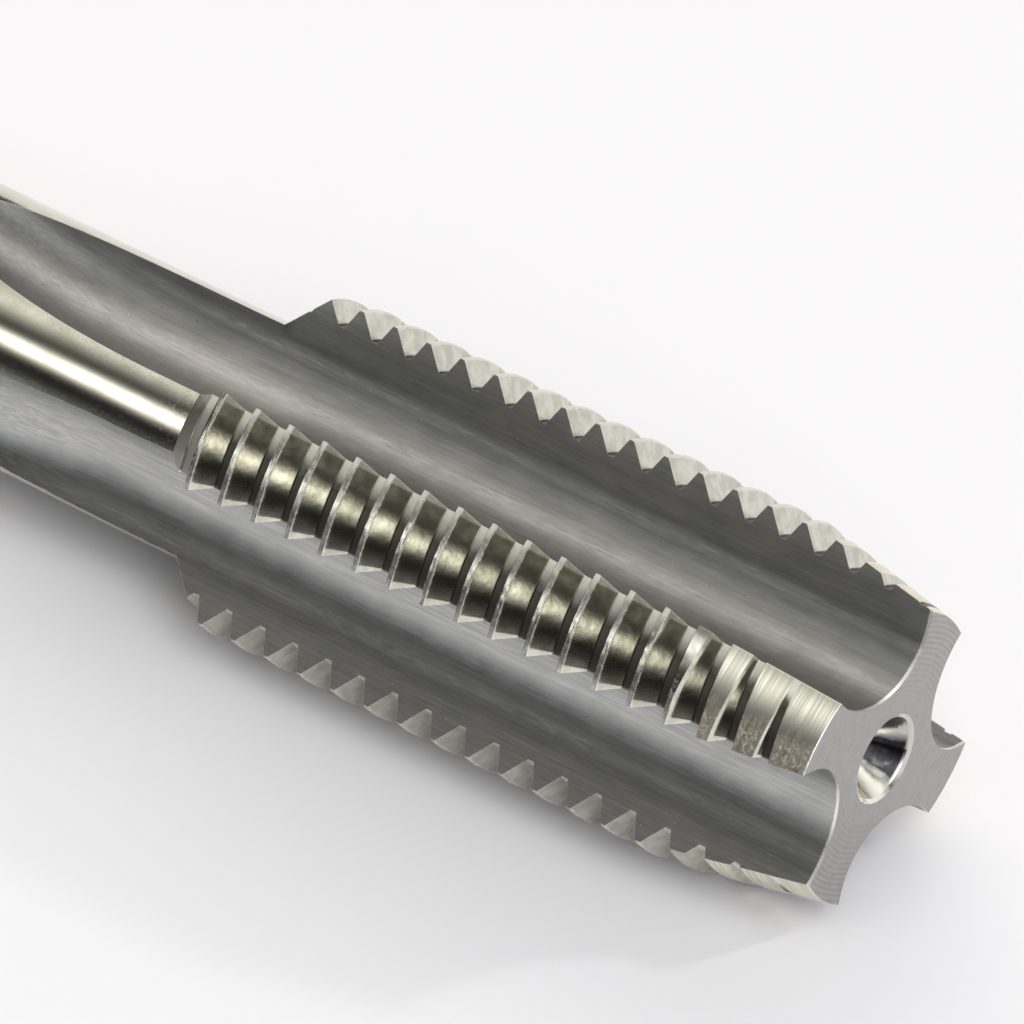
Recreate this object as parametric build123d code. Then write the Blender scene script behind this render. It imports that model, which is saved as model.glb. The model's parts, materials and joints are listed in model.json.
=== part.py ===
from build123d import *
import math
import os

# Straight-fluted machine tap lying along X with its tip towards +X, Z up, millimetres.
# Angles of a cross-section are in degrees from +Y towards +Z.
# The screw thread advances along +X as the angle grows, so it is right-handed.

# Thread
major_diameter = 11.11
pitch = 1.27
thread_length = 24.0
crest_flat = pitch / 8
root_flat = pitch / 6
flank_angle = 60.0
thread_phase = 0.038
rear_step_angle = 44.0

# Chamfer at the tip, relieved behind each cutting edge
chamfer_length = 4.0
chamfer_face_diameter = 9.5
chamfer_relief = 0.35
front_break = 0.12

# Flutes and the lands between them
flute_count = 4
land_angle = 32.6
rake_angle = 11.0
core_diameter = 4.64
gullet_radius = 2.05
heel_radius = 2.95
flute_length = 26.0
flute_wheel_radius = 30.0

# Shank and driving square
overall_length = 85.0
shank_diameter = 8.0
shank_end_chamfer = 0.5
square_across_flats = 6.3
square_length = 9.0
square_nose_radius = 1.2

# Centre holes
centre_cone_angle = 60.0
pilot_point_angle = 118.0
front_mouth_diameter = 2.9
front_bevel_angle = 120.0
front_bevel_width = 0.22
front_pilot_diameter = 1.25
front_pilot_depth = 3.6
rear_mouth_diameter = 3.35
rear_pilot_diameter = 1.6
rear_pilot_depth = 4.6

# Derived sizes
crest_radius = major_diameter / 2
thread_depth = (pitch - crest_flat - root_flat) / 2 / math.tan(math.radians(flank_angle / 2))
root_radius = crest_radius - thread_depth
shank_radius = shank_diameter / 2
core_radius = core_diameter / 2
flute_step = 360.0 / flute_count
body_radius = (core_radius + root_radius) / 2
land_foot_radius = (core_radius + body_radius) / 2
rest_height = crest_radius * math.cos(math.radians((flute_step - land_angle) / 2))
tip_x = overall_length / 2
rear_x = tip_x - overall_length

# How far a cutter reaches past the surface that it cuts
clearance = crest_radius / 2

# How far a land's sweep reaches past its heel and its cutting edge, degrees
heel_margin = land_angle / 4
cut_margin = land_angle / 8

# Each land's cutting edge, with the middle of one flute straight down
cut_angles = [(index + 0.5) * flute_step - 90 + land_angle / 2 for index in range(flute_count)]


def vec(radius, angle):
    """Vector of a cross-section with the X component left out."""
    return Vector(0, radius * math.cos(math.radians(angle)), radius * math.sin(math.radians(angle)))


def turned(outline):
    """Solid turned about X from (distance back from the tip, radius) pairs."""
    points = [(tip_x - back, 0, radius) for back, radius in outline]
    return revolve(make_face(Polyline(points, close=True)), Axis.X)


def tooth_row():
    """Axial section of one land with its teeth, in the XZ plane, longer than the thread."""
    spare = 2
    count = math.ceil(thread_length / pitch) + 2 * spare
    crests = [tip_x + (thread_phase + spare - index) * pitch for index in range(count)]
    half_foot = (pitch - root_flat) / 2
    half_crest = crest_flat / 2
    points = [(crests[0] + half_foot, 0, land_foot_radius)]
    for crest in crests:
        points.append((crest + half_foot, 0, root_radius))
        points.append((crest + half_crest, 0, crest_radius))
        points.append((crest - half_crest, 0, crest_radius))
        points.append((crest - half_foot, 0, root_radius))
    points.append((crests[-1] - half_foot, 0, land_foot_radius))
    return make_face(Polyline(points, close=True))


def land_envelope(cut_angle):
    """Space left to one land by the relieved chamfer, the front face and the rear step."""
    slope = (crest_radius - chamfer_face_diameter / 2) / chamfer_length
    half_land = math.radians(land_angle / 2)
    offset = chamfer_relief / 2 / math.sin(half_land)
    edge = chamfer_face_diameter / 2
    start = math.sqrt(edge**2 + offset**2 - 2 * edge * offset * math.sin(half_land))
    full = (crest_radius + offset + clearance - start) / slope
    cone = turned([
        (0, 0),
        (0, start + slope * front_break - front_break),
        (front_break, start + slope * front_break),
        (full, start + slope * full),
        (thread_length + pitch, start + slope * full),
        (thread_length + pitch, 0),
    ])
    rise = math.tan(math.radians(rear_step_angle))
    lap = pitch / 2
    step = turned([
        (0, 0),
        (0, crest_radius + clearance),
        (thread_length - (crest_radius + clearance - shank_radius) / rise, crest_radius + clearance),
        (thread_length + lap, shank_radius - lap * rise),
        (thread_length + lap, 0),
    ])
    away = cut_angle + 90 - land_angle / 2
    return Pos(vec(offset, away)) * cone & step


def flute_section():
    """Section of the flute whose cutting edge stands at 0 degrees and whose heel lies beyond it."""
    edge = vec(crest_radius, 0)
    inward = vec(1, 180 + rake_angle)
    aside = vec(1, 90 + rake_angle)
    base = edge + aside * gullet_radius
    along = base.dot(inward)
    reach = along**2 - base.dot(base) + (core_radius + gullet_radius)**2
    run = -along - math.sqrt(reach)
    gullet_centre = base + inward * run
    floor_direction = gullet_centre.normalized()
    floor = floor_direction * core_radius
    heel_centre = floor_direction * (core_radius + heel_radius)
    heel = vec(crest_radius, flute_step - land_angle)
    to_heel = heel - heel_centre
    swing = math.degrees(math.acos(heel_radius / to_heel.length))
    bearing = math.degrees(math.atan2(to_heel.Z, to_heel.Y))
    leave = heel_centre + vec(heel_radius, bearing + swing)
    wall_start = edge - inward * clearance
    wall_end = edge + inward * run
    heel_top = heel + (heel - leave).normalized() * clearance
    gullet_turn = (wall_end - gullet_centre).normalized() + (floor - gullet_centre).normalized()
    heel_turn = (leave - heel_centre).normalized() + (floor - heel_centre).normalized()
    outline = [
        Line(wall_start, wall_end),
        ThreePointArc(wall_end, gullet_centre + gullet_turn.normalized() * gullet_radius, floor),
        ThreePointArc(floor, heel_centre + heel_turn.normalized() * heel_radius, leave),
        Line(leave, heel_top),
        Line(heel_top, wall_start),
    ]
    return make_face(outline), floor_direction


def flute():
    """Cutter path of the flute at 0 degrees: straight along the thread, then lifted by the wheel."""
    section, outward = flute_section()
    ahead = Pos(tip_x + clearance, 0, 0) * section
    straight = extrude(ahead, amount=flute_length + clearance, dir=(-1, 0, 0))
    lift = Pos(tip_x - flute_length, 0, 0) * section
    pivot = Vector(tip_x - flute_length, 0, 0) + outward * (core_radius + flute_wheel_radius)
    turn = Axis(pivot, outward.cross(Vector(1, 0, 0)))
    leave_angle = math.degrees(math.acos(1 - (crest_radius - core_radius) / flute_wheel_radius))
    return straight + revolve(lift, turn, leave_angle)


def front_centre():
    """Lathe centre in the tip: bevel, 60 degree cone, pilot and drill point."""
    mouth = front_mouth_diameter / 2
    pilot = front_pilot_diameter / 2
    cone = mouth - front_bevel_width
    bevel_depth = front_bevel_width / math.tan(math.radians(front_bevel_angle / 2))
    cone_depth = bevel_depth + (cone - pilot) / math.tan(math.radians(centre_cone_angle / 2))
    point = front_pilot_depth + pilot / math.tan(math.radians(pilot_point_angle / 2))
    return turned([
        (-clearance, 0),
        (-clearance, mouth),
        (0, mouth),
        (bevel_depth, cone),
        (cone_depth, pilot),
        (front_pilot_depth, pilot),
        (point, 0),
    ])


def rear_centre():
    """Lathe centre in the shank end: 60 degree cone, pilot and drill point."""
    mouth = rear_mouth_diameter / 2
    pilot = rear_pilot_diameter / 2
    cone_depth = (mouth - pilot) / math.tan(math.radians(centre_cone_angle / 2))
    point = rear_pilot_depth + pilot / math.tan(math.radians(pilot_point_angle / 2))
    return turned([
        (overall_length + clearance, 0),
        (overall_length + clearance, mouth),
        (overall_length, mouth),
        (overall_length - cone_depth, pilot),
        (overall_length - rear_pilot_depth, pilot),
        (overall_length - point, 0),
    ])


def square_cutter():
    """Material above one flat of the driving square, with the cutter's round nose at its end."""
    flat = square_across_flats / 2
    top = shank_radius + clearance
    shoulder = rear_x + square_length
    behind = rear_x - clearance
    corner = (shoulder - square_nose_radius, 0, flat + square_nose_radius)
    diagonal = square_nose_radius / math.sqrt(2)
    outline = [
        Line((behind, 0, flat), (shoulder - square_nose_radius, 0, flat)),
        ThreePointArc(
            (shoulder - square_nose_radius, 0, flat),
            (corner[0] + diagonal, 0, corner[2] - diagonal),
            (shoulder, 0, flat + square_nose_radius),
        ),
        Line((shoulder, 0, flat + square_nose_radius), (shoulder, 0, top)),
        Line((shoulder, 0, top), (behind, 0, top)),
        Line((behind, 0, top), (behind, 0, flat)),
    ]
    return extrude(make_face(outline), amount=shank_radius + clearance, dir=(0, 1, 0), both=True)


# Core under the thread and the whole shank
blank = turned([
    (0, 0),
    (0, body_radius),
    (thread_length, body_radius),
    (thread_length, shank_radius),
    (overall_length - shank_end_chamfer, shank_radius),
    (overall_length, shank_radius - shank_end_chamfer),
    (overall_length, 0),
])

# One land's teeth as a screw sweep from 90 degrees on, wider than the finished land
sweep_angle = heel_margin + land_angle + cut_margin
lead = Helix(pitch=pitch, height=pitch * sweep_angle / 360, radius=crest_radius, direction=(1, 0, 0))
row_angle = math.degrees(math.atan2((lead @ 0).Z, (lead @ 0).Y))
threads = sweep(Rot(row_angle - 90, 0, 0) * tooth_row(), path=lead, is_frenet=True)

tap = blank
for cut_angle in cut_angles:
    sweep_start = cut_angle - land_angle - heel_margin
    advance = pitch * sweep_start / 360
    land = Pos(advance, 0, 0) * Rot(sweep_start - row_angle, 0, 0) * threads
    tap += land & land_envelope(cut_angle)

cutter = flute()
for cut_angle in cut_angles:
    tap -= Rot(cut_angle, 0, 0) * cutter

flat_cutter = square_cutter()
for side in (0, 90, 180, 270):
    tap -= Rot(side, 0, 0) * flat_cutter

tap -= front_centre()
tap -= rear_centre()

# The lands' crests touch the ground plane z = 0
tap = Pos(0, 0, rest_height) * tap.solid()
tap.label = "tap"

os.makedirs("parts", exist_ok=True)
export_step(tap, "parts/tap.step")
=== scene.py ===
"""A straight-fluted machine tap of ground tool steel, lying on a pale studio floor.

Lengths are in millimetres until a mesh is made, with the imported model's axes: the tap's
axis runs along X with the tip towards +X, and Z is up. Angles of a cross-section are in
degrees from +Y towards +Z.
"""

import json
import logging
import math
from abc import ABC, abstractmethod
from dataclasses import dataclass, field
from enum import Enum
from typing import Any, Union

import bmesh
import bpy
import numpy as np
from mathutils import Matrix, Vector
from mathutils.geometry import delaunay_2d_cdt
from mathutils.kdtree import KDTree

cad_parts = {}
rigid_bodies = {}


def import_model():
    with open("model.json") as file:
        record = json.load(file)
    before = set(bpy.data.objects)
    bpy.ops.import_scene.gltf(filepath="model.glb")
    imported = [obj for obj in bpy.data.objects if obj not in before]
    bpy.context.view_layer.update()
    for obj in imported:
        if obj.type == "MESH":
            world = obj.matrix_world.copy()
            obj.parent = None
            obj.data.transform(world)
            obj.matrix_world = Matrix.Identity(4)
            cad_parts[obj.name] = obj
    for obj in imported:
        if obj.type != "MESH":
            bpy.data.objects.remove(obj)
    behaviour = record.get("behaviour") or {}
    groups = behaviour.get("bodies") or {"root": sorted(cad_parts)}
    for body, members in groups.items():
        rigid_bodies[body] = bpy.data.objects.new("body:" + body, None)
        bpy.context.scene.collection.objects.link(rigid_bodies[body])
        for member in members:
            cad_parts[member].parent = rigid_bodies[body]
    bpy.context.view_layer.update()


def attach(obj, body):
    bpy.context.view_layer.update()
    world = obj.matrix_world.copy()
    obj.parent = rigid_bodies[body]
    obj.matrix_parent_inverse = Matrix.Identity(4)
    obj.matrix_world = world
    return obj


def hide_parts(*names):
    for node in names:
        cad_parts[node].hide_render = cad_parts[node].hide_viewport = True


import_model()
MM = 0.001
LOG = logging.getLogger("tap")

Number = Union[float, "Term"]
Colour = tuple[float, float, float]
Place = tuple[float, float, float]
Band = tuple[float, float]
Window = tuple[float, float, float, float]

NEARLY = 1e-6

# Where mottled noise turns from its first tone to its second.
MOTTLED: Band = (0.36, 0.64)
# Degrees in a radian, as the patterns round the axis count them.
RADIAN = 57.3
# How far the next noise or the next set of specks lies from the one before it.
NOISE_STEP = (17.3, 9.1, 23.7)
SPECK_STEP = (3.1, 5.7, 1.9)
# Share of a speck that has its full strength.
SPECK_CORE = 0.6
LEAST_ROUGHNESS = 0.05
# Numbers of a Mix node's colour sockets.
MIX_FACTOR, MIX_FIRST, MIX_SECOND, MIX_COLOUR = 0, 6, 7, 2


def cosd(angle: float) -> float:
    """Cosine of an angle in degrees."""
    return math.cos(math.radians(angle))


def sind(angle: float) -> float:
    """Sine of an angle in degrees."""
    return math.sin(math.radians(angle))


def tand(angle: float) -> float:
    """Tangent of an angle in degrees."""
    return math.tan(math.radians(angle))


def turned(angle: float) -> complex:
    """A turn by an angle in degrees, as a complex number."""
    return complex(cosd(angle), sind(angle))


def placed(name: str, data: bpy.types.ID) -> bpy.types.Object:
    """Put a new object into the scene.

    Args:
        name: its name.
        data: its mesh, lamp or camera.

    Returns:
        The object.
    """
    made = bpy.data.objects.new(name, data)
    bpy.context.scene.collection.objects.link(made)
    return made


class Net:
    """A node tree that is written with Python expressions."""

    def __init__(self, tree: bpy.types.NodeTree) -> None:
        """Start on an empty tree."""
        self.tree = tree
        self.tree.nodes.clear()

    def node(
        self,
        kind: str,
        settings: dict[str, Any] | None = None,
        values: dict[Any, Any] | None = None,
    ) -> bpy.types.Node:
        """Add one node.

        Args:
            kind: the node's type.
            settings: the node's own properties, set first.
            values: for each input, by name or number, a constant or a Term.

        Returns:
            The new node.
        """
        made = self.tree.nodes.new(kind)
        for name, setting in (settings or {}).items():
            setattr(made, name, setting)
        for name, value in (values or {}).items():
            if isinstance(value, Term):
                self.tree.links.new(value.socket, made.inputs[name])
            else:
                made.inputs[name].default_value = value
        return made

    def term(
        self,
        kind: str,
        settings: dict[str, Any] | None = None,
        values: dict[Any, Any] | None = None,
        output: Any = 0,
    ) -> "Term":
        """Add one node and wrap one of its outputs.

        Args:
            kind: the node's type.
            settings: the node's own properties.
            values: constants or Terms by input.
            output: the output's name or number.

        Returns:
            The wrapped output.
        """
        return Term(self, self.node(kind, settings, values).outputs[output])

    def math(self, operation: str, *values: Number) -> "Term":
        """Add a Math node on one to three values."""
        return self.term("ShaderNodeMath", {"operation": operation}, dict(enumerate(values)))

    def vector_math(self, operation: str, *values: Any, output: Any = 0) -> "Term":
        """Add a Vector Math node on two or three vectors."""
        settings, inputs = {"operation": operation}, dict(enumerate(values))
        return self.term("ShaderNodeVectorMath", settings, inputs, output)

    def clamp(self, value: Number, low: Number, high: Number) -> "Term":
        """Hold a value between two others."""
        return self.math("MINIMUM", self.math("MAXIMUM", value, low), high)

    def root(self, value: Number) -> "Term":
        """Square root."""
        return self.math("SQRT", value)

    def least(self, first: Number, second: Number) -> "Term":
        """The smaller of two values."""
        return self.math("MINIMUM", first, second)

    def most(self, first: Number, second: Number) -> "Term":
        """The larger of two values."""
        return self.math("MAXIMUM", first, second)

    def vector(self, x: Number, y: Number, z: Number) -> "Term":
        """Join three values to a vector."""
        return self.term("ShaderNodeCombineXYZ", values={0: x, 1: y, 2: z})

    def parts(self, vector: "Term") -> tuple["Term", "Term", "Term"]:
        """Split a vector into its three values."""
        split = self.node("ShaderNodeSeparateXYZ", values={0: vector})
        return tuple(Term(self, output) for output in split.outputs)


class Term:
    """One value on its way through a tree, which adds up like a Python number."""

    def __init__(self, net: Net, socket: bpy.types.NodeSocket) -> None:
        """Wrap an output socket."""
        self.net = net
        self.socket = socket

    def __add__(self, other: Number) -> "Term":
        """Sum."""
        return self.net.math("ADD", self, other)

    def __radd__(self, other: Number) -> "Term":
        """Sum with a number first."""
        return self.net.math("ADD", other, self)

    def __sub__(self, other: Number) -> "Term":
        """Difference."""
        return self.net.math("SUBTRACT", self, other)

    def __rsub__(self, other: Number) -> "Term":
        """Difference with a number first."""
        return self.net.math("SUBTRACT", other, self)

    def __mul__(self, other: Number) -> "Term":
        """Product."""
        return self.net.math("MULTIPLY", self, other)

    def __rmul__(self, other: Number) -> "Term":
        """Product with a number first."""
        return self.net.math("MULTIPLY", other, self)

    def __truediv__(self, other: Number) -> "Term":
        """Quotient."""
        return self.net.math("DIVIDE", self, other)

    def __rtruediv__(self, other: Number) -> "Term":
        """Quotient with a number first."""
        return self.net.math("DIVIDE", other, self)

    def __pow__(self, other: Number) -> "Term":
        """Power."""
        return self.net.math("POWER", self, other)

    def __neg__(self) -> "Term":
        """The value with its sign changed."""
        return self.net.math("MULTIPLY", self, -1.0)

    def __gt__(self, other: Number) -> "Term":
        """1 where this is larger, else 0."""
        return self.net.math("GREATER_THAN", self, other)

    def __lt__(self, other: Number) -> "Term":
        """1 where this is smaller, else 0."""
        return self.net.math("LESS_THAN", self, other)


@dataclass(frozen=True)
class TapSizes:
    """Sizes of the tap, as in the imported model."""

    major_diameter: float = 11.11
    pitch: float = 1.27
    thread_angle: float = 60.0
    thread_length: float = 24.0
    thread_phase: float = 0.038
    rear_step_angle: float = 44.0
    chamfer_length: float = 4.0
    chamfer_face_diameter: float = 9.5
    chamfer_relief: float = 0.35
    front_break: float = 0.02
    flute_count: int = 4
    land_angle: float = 32.6
    rake_angle: float = 11.0
    core_diameter: float = 4.64
    gullet_radius: float = 2.05
    heel_radius: float = 2.95
    flute_length: float = 26.0
    flute_wheel_radius: float = 30.0
    overall_length: float = 85.0
    shank_diameter: float = 8.0
    shank_end_chamfer: float = 0.5
    square_across_flats: float = 6.3
    square_length: float = 9.0
    square_nose_radius: float = 1.2

    @property
    def crest_flat(self) -> float:
        """Width of a tooth's crest."""
        return self.pitch / 8

    @property
    def root_flat(self) -> float:
        """Width of the ground between two teeth."""
        return self.pitch / 6

    @property
    def crest(self) -> float:
        """Radius of the teeth's crests."""
        return self.major_diameter / 2

    @property
    def flank_run(self) -> float:
        """Axial length of a flank for each millimetre of its height."""
        return tand(self.thread_angle / 2)

    @property
    def root(self) -> float:
        """Radius of the ground between the teeth."""
        return self.crest - (self.pitch - self.crest_flat - self.root_flat) / 2 / self.flank_run

    @property
    def neck(self) -> float:
        """Radius of the shank."""
        return self.shank_diameter / 2

    @property
    def core(self) -> float:
        """Radius of the core that the flutes leave."""
        return self.core_diameter / 2

    @property
    def tip(self) -> float:
        """Place of the front face along X."""
        return self.overall_length / 2

    @property
    def rear(self) -> float:
        """Place of the shank's end along X."""
        return -self.overall_length / 2

    @property
    def step_foot(self) -> float:
        """Place where the rear step of the thread meets the shank."""
        return self.tip - self.thread_length

    @property
    def flute_end(self) -> float:
        """Place where the straight part of the flutes ends."""
        return self.tip - self.flute_length

    @property
    def first_cut(self) -> float:
        """Angle of the first land's cutting edge."""
        return 180 / self.flute_count + self.land_angle / 2

    @property
    def axis_height(self) -> float:
        """Height of the axis over the floor."""
        return self.crest * cosd((360 / self.flute_count - self.land_angle) / 2)

    @property
    def relief_offset(self) -> float:
        """How far the chamfer's turning axis of each land lies beside the tap's axis."""
        return self.chamfer_relief / 2 / sind(self.land_angle / 2)

    @property
    def chamfer_slope(self) -> float:
        """Rise of the chamfer for each millimetre of its length."""
        return (self.crest - self.chamfer_face_diameter / 2) / self.chamfer_length

    @property
    def chamfer_start(self) -> float:
        """Radius of a land's chamfer cone at the tip, about its own turning axis."""
        edge, offset = self.chamfer_face_diameter / 2, self.relief_offset
        return math.sqrt(edge**2 + offset**2 - 2 * edge * offset * sind(self.land_angle / 2))


@dataclass(frozen=True)
class FluteSection:
    """The ground outline of one flute, with its cutting edge at 0 degrees on the crest circle.

    The outline runs down the hooked rake line, round the gullet, over the floor on the core
    circle, up the heel arc and out along the heel line. It is walked by its own length.
    """

    sizes: TapSizes

    def corners(self) -> dict[str, Any]:
        """Key points and arcs of the outline.

        Returns:
            Points as complex numbers (Y + i Z), and the length of each stretch.
        """
        s = self.sizes
        edge = complex(s.crest, 0)
        inward = turned(180 + s.rake_angle)
        aside = turned(90 + s.rake_angle)
        base = edge + aside * s.gullet_radius
        along = (base * inward.conjugate()).real
        run = -along - math.sqrt(along**2 - abs(base) ** 2 + (s.core + s.gullet_radius) ** 2)
        gullet = base + inward * run
        outward = gullet / abs(gullet)
        heel_centre = outward * (s.core + s.heel_radius)
        heel = s.crest * turned(360 / s.flute_count - s.land_angle)
        reach = heel - heel_centre
        swing = math.degrees(math.acos(s.heel_radius / abs(reach)))
        bearing = math.degrees(math.atan2(reach.imag, reach.real))
        leave = heel_centre + s.heel_radius * turned(bearing + swing)
        return {
            "edge": edge,
            "inward": inward,
            "run": run,
            "gullet": gullet,
            "outward": outward,
            "heel_centre": heel_centre,
            "leave": leave,
            "heel": heel,
        }

    def walk(self, steps: int = 800) -> tuple[np.ndarray, np.ndarray]:
        """Dense points along the outline.

        Args:
            steps: how many points each stretch gets.

        Returns:
            The length walked at each point, and the points as complex numbers.
        """
        c = self.corners()
        part = np.linspace(0, 1, steps)
        wall_end = c["edge"] + c["inward"] * c["run"]
        floor = c["outward"] * self.sizes.core

        def arc(centre: complex, start: complex, end: complex) -> np.ndarray:
            """Points on the short arc from one point to another."""
            swing = np.angle((end - centre) / (start - centre))
            return centre + (start - centre) * np.exp(1j * swing * part)

        points = np.concatenate([
            c["edge"] + (wall_end - c["edge"]) * part,
            arc(c["gullet"], wall_end, floor)[1:],
            arc(c["heel_centre"], floor, c["leave"])[1:],
            c["leave"] + (c["heel"] - c["leave"]) * part[1:],
        ])
        walked = np.concatenate([[0], np.cumsum(np.abs(np.diff(points)))])
        return walked, points

    def lifted(self, points: np.ndarray, x: float) -> np.ndarray:
        """Outline points where the grinding wheel has lifted them in the run-out.

        Args:
            points: outline points as complex numbers.
            x: place along the axis.

        Returns:
            The lifted points. Beside the flute's straight part they stay as they are.
        """
        back = max(0.0, self.sizes.flute_end - x)
        outward = self.corners()["outward"]
        local = points * outward.conjugate()
        height = local.real - self.sizes.core
        wheel = self.sizes.flute_wheel_radius
        lifted = wheel - np.sqrt((wheel - height) ** 2 - back**2)
        return (self.sizes.core + lifted + 1j * local.imag) * outward

    def run_out(self) -> float:
        """Distance behind the straight part at which the flute leaves the shank."""
        wheel = self.sizes.flute_wheel_radius
        return math.sqrt(wheel**2 - (wheel - self.sizes.neck + self.sizes.core) ** 2)


@dataclass(frozen=True)
class ToothRows:
    """How many mesh rows each stretch of one pitch gets."""

    flank: int = 3
    crest: int = 5
    root: int = 6
    columns: int = 22
    teeth: int = 21

    @property
    def per_pitch(self) -> int:
        """Rows from one tooth to the next."""
        return 2 * self.flank + self.crest + self.root

    @property
    def rows(self) -> int:
        """Rows along the whole thread."""
        return self.per_pitch * self.teeth


@dataclass
class ThreadedLands:
    """The outer faces of the four lands: a screw thread with its chamfer and rear step.

    Some radii and angles depend on each other, and are worked out again a few times.
    """

    sizes: TapSizes
    section: FluteSection
    rows: ToothRows = field(default_factory=ToothRows)
    crest_rounds: int = 3
    limit_rounds: int = 2
    chip_depth: float = 0.022
    chip_size: float = 0.16
    chip_reach: float = 0.12
    chip_level: float = 0.52
    chip_steepness: float = 4.0
    seed: float = 7.0

    def values(self) -> dict[str, float]:
        """Values of the tree's inputs.

        Returns:
            Each value by its input's name, in the order of the inputs.
        """
        s = self.sizes
        lowest = 1 - self.rows.teeth
        return {
            "Pitch": s.pitch, "Crest radius": s.crest, "Root radius": s.root,
            "Crest flat": s.crest_flat, "Root flat": s.root_flat,
            "First crest": s.tip + (s.thread_phase + lowest) * s.pitch,
            "First cutting edge": s.first_cut, "Land angle": s.land_angle,
            "Rake angle": s.rake_angle, "Neck radius": s.neck, "Step foot": s.step_foot,
            "Step rise": tand(s.rear_step_angle),
            "Tip": s.tip, "Front break": s.front_break,
            "Chamfer start": s.chamfer_start, "Chamfer slope": s.chamfer_slope,
            "Relief offset": s.relief_offset, "Axis height": s.axis_height,
            "Chip depth": self.chip_depth, "Chip size": self.chip_size,
            "Chip reach": self.chip_reach, "Seed": self.seed,
        }

    def tree(self, material: bpy.types.Material) -> bpy.types.NodeTree:
        """Geometry nodes of the lands.

        Args:
            material: the finish of the teeth.

        Returns:
            The tree, with one named input for each size.
        """
        group = bpy.data.node_groups.new("screw_thread_lands", "GeometryNodeTree")
        names = list(self.values())
        for name in names:
            group.interface.new_socket(name=name, in_out="INPUT", socket_type="NodeSocketFloat")
        group.interface.new_socket(name="Lands", in_out="OUTPUT", socket_type="NodeSocketGeometry")
        net = Net(group)
        given = net.node("NodeGroupInput")
        size = {name: Term(net, given.outputs[name]) for name in names}
        rows, count = self.rows, self.sizes.flute_count
        across = rows.columns + 1
        wide = count * across
        index = net.term("GeometryNodeInputIndex")
        row = self._whole(net, index, wide)
        column = index - row * wide
        land = self._whole(net, column, across)
        share = (column - land * across) / rows.columns
        tooth = self._whole(net, row, rows.per_pitch)
        step = row - tooth * rows.per_pitch
        cut = size["First cutting edge"] + land * (360 / count)
        place = self._surface(net, size, tooth, step, cut, share)
        grid = net.term(
            "GeometryNodeMeshGrid",
            values={"Vertices X": rows.rows, "Vertices Y": wide},
        )
        moved = net.term("GeometryNodeSetPosition", values={"Geometry": grid, "Position": place})
        # The face after a land's last column would bridge the flute, and is left out.
        face_column = index - self._whole(net, index, wide - 1) * (wide - 1)
        bridge = net.math("FRACT", (face_column + 1.5) / across) < 1.0 / across
        lands = net.term(
            "GeometryNodeDeleteGeometry",
            {"domain": "FACE", "mode": "ONLY_FACE"},
            {"Geometry": moved, "Selection": bridge},
        )
        real = net.term("GeometryNodeRealizeInstances", values={"Geometry": lands})
        dressed = net.term("GeometryNodeSetMaterial", values={"Geometry": real})
        dressed.socket.node.inputs["Material"].default_value = material
        net.node("NodeGroupOutput", values={"Lands": dressed})
        return group

    def _whole(self, net: Net, number: Term, count: int) -> Term:
        """How many times a count goes into a whole number, safe from rounding."""
        return net.math("FLOOR", (number + 0.5) / count)

    def _walls(self, net: Net, size: dict[str, Term], radius: Term, cut: Term, share: Term) -> Term:
        """Angle of a land's point, between the heel line or arc and the hooked rake line.

        Args:
            net: the tree.
            size: its inputs.
            radius: distance from the axis.
            cut: angle of the land's cutting edge at the crest.
            share: 0 at the heel to 1 at the cutting edge.

        Returns:
            The angle in degrees.
        """
        crest = size["Crest radius"]
        rake = net.math("RADIANS", size["Rake angle"])
        cos_rake, sin_rake = net.math("COSINE", rake), net.math("SINE", rake)
        reach = crest * cos_rake
        down = reach - net.root(radius * radius - (crest * sin_rake) ** 2.0)
        cut_turn = net.math("ARCTAN2", -(down * sin_rake), crest - down * cos_rake)
        corner = self.section.corners()
        heel, leave = corner["heel"], corner["leave"]
        along = (heel - leave) / abs(heel - leave)
        reach = (heel * along.conjugate()).real
        rest = abs(heel) ** 2 - reach**2
        back = reach - net.root(radius * radius - rest)
        heel_y, heel_z = heel.real - back * along.real, heel.imag - back * along.imag
        line_turn = net.math("ARCTAN2", heel_z, heel_y)
        centre = corner["heel_centre"]
        gap = abs(centre) ** 2 - self.sizes.heel_radius**2
        swing = net.math("ARCCOSINE", (radius * radius + gap) / (radius * (2 * abs(centre))))
        arc_turn = swing + math.atan2(centre.imag, centre.real)
        on_line = radius > abs(leave)
        heel_turn = arc_turn + (line_turn - arc_turn) * on_line
        heel_angle = cut - 360 / self.sizes.flute_count + net.math("DEGREES", heel_turn)
        cut_angle = cut + net.math("DEGREES", cut_turn)
        return heel_angle + (cut_angle - heel_angle) * share

    def _limit(self, net: Net, size: dict[str, Term], x: Term, angle: Term, cut: Term) -> Term:
        """Radius that the relieved chamfer leaves.

        Args:
            net: the tree.
            size: its inputs.
            x: place along the axis.
            angle: angle of the point in degrees.
            cut: angle of the land's cutting edge.

        Returns:
            The largest radius at that point.
        """
        back = size["Tip"] - x
        flat = size["Chamfer start"] + size["Chamfer slope"] * back
        edge = size["Chamfer start"] + (size["Chamfer slope"] - 1.0) * size["Front break"] + back
        cone = net.least(flat, edge)
        offset = size["Relief offset"]
        turn = net.math("RADIANS", 90.0 - size["Land angle"] / 2.0 + cut - angle)
        aside = offset * net.math("COSINE", turn)
        return aside + net.root(aside * aside - offset * offset + cone * cone)

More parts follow.
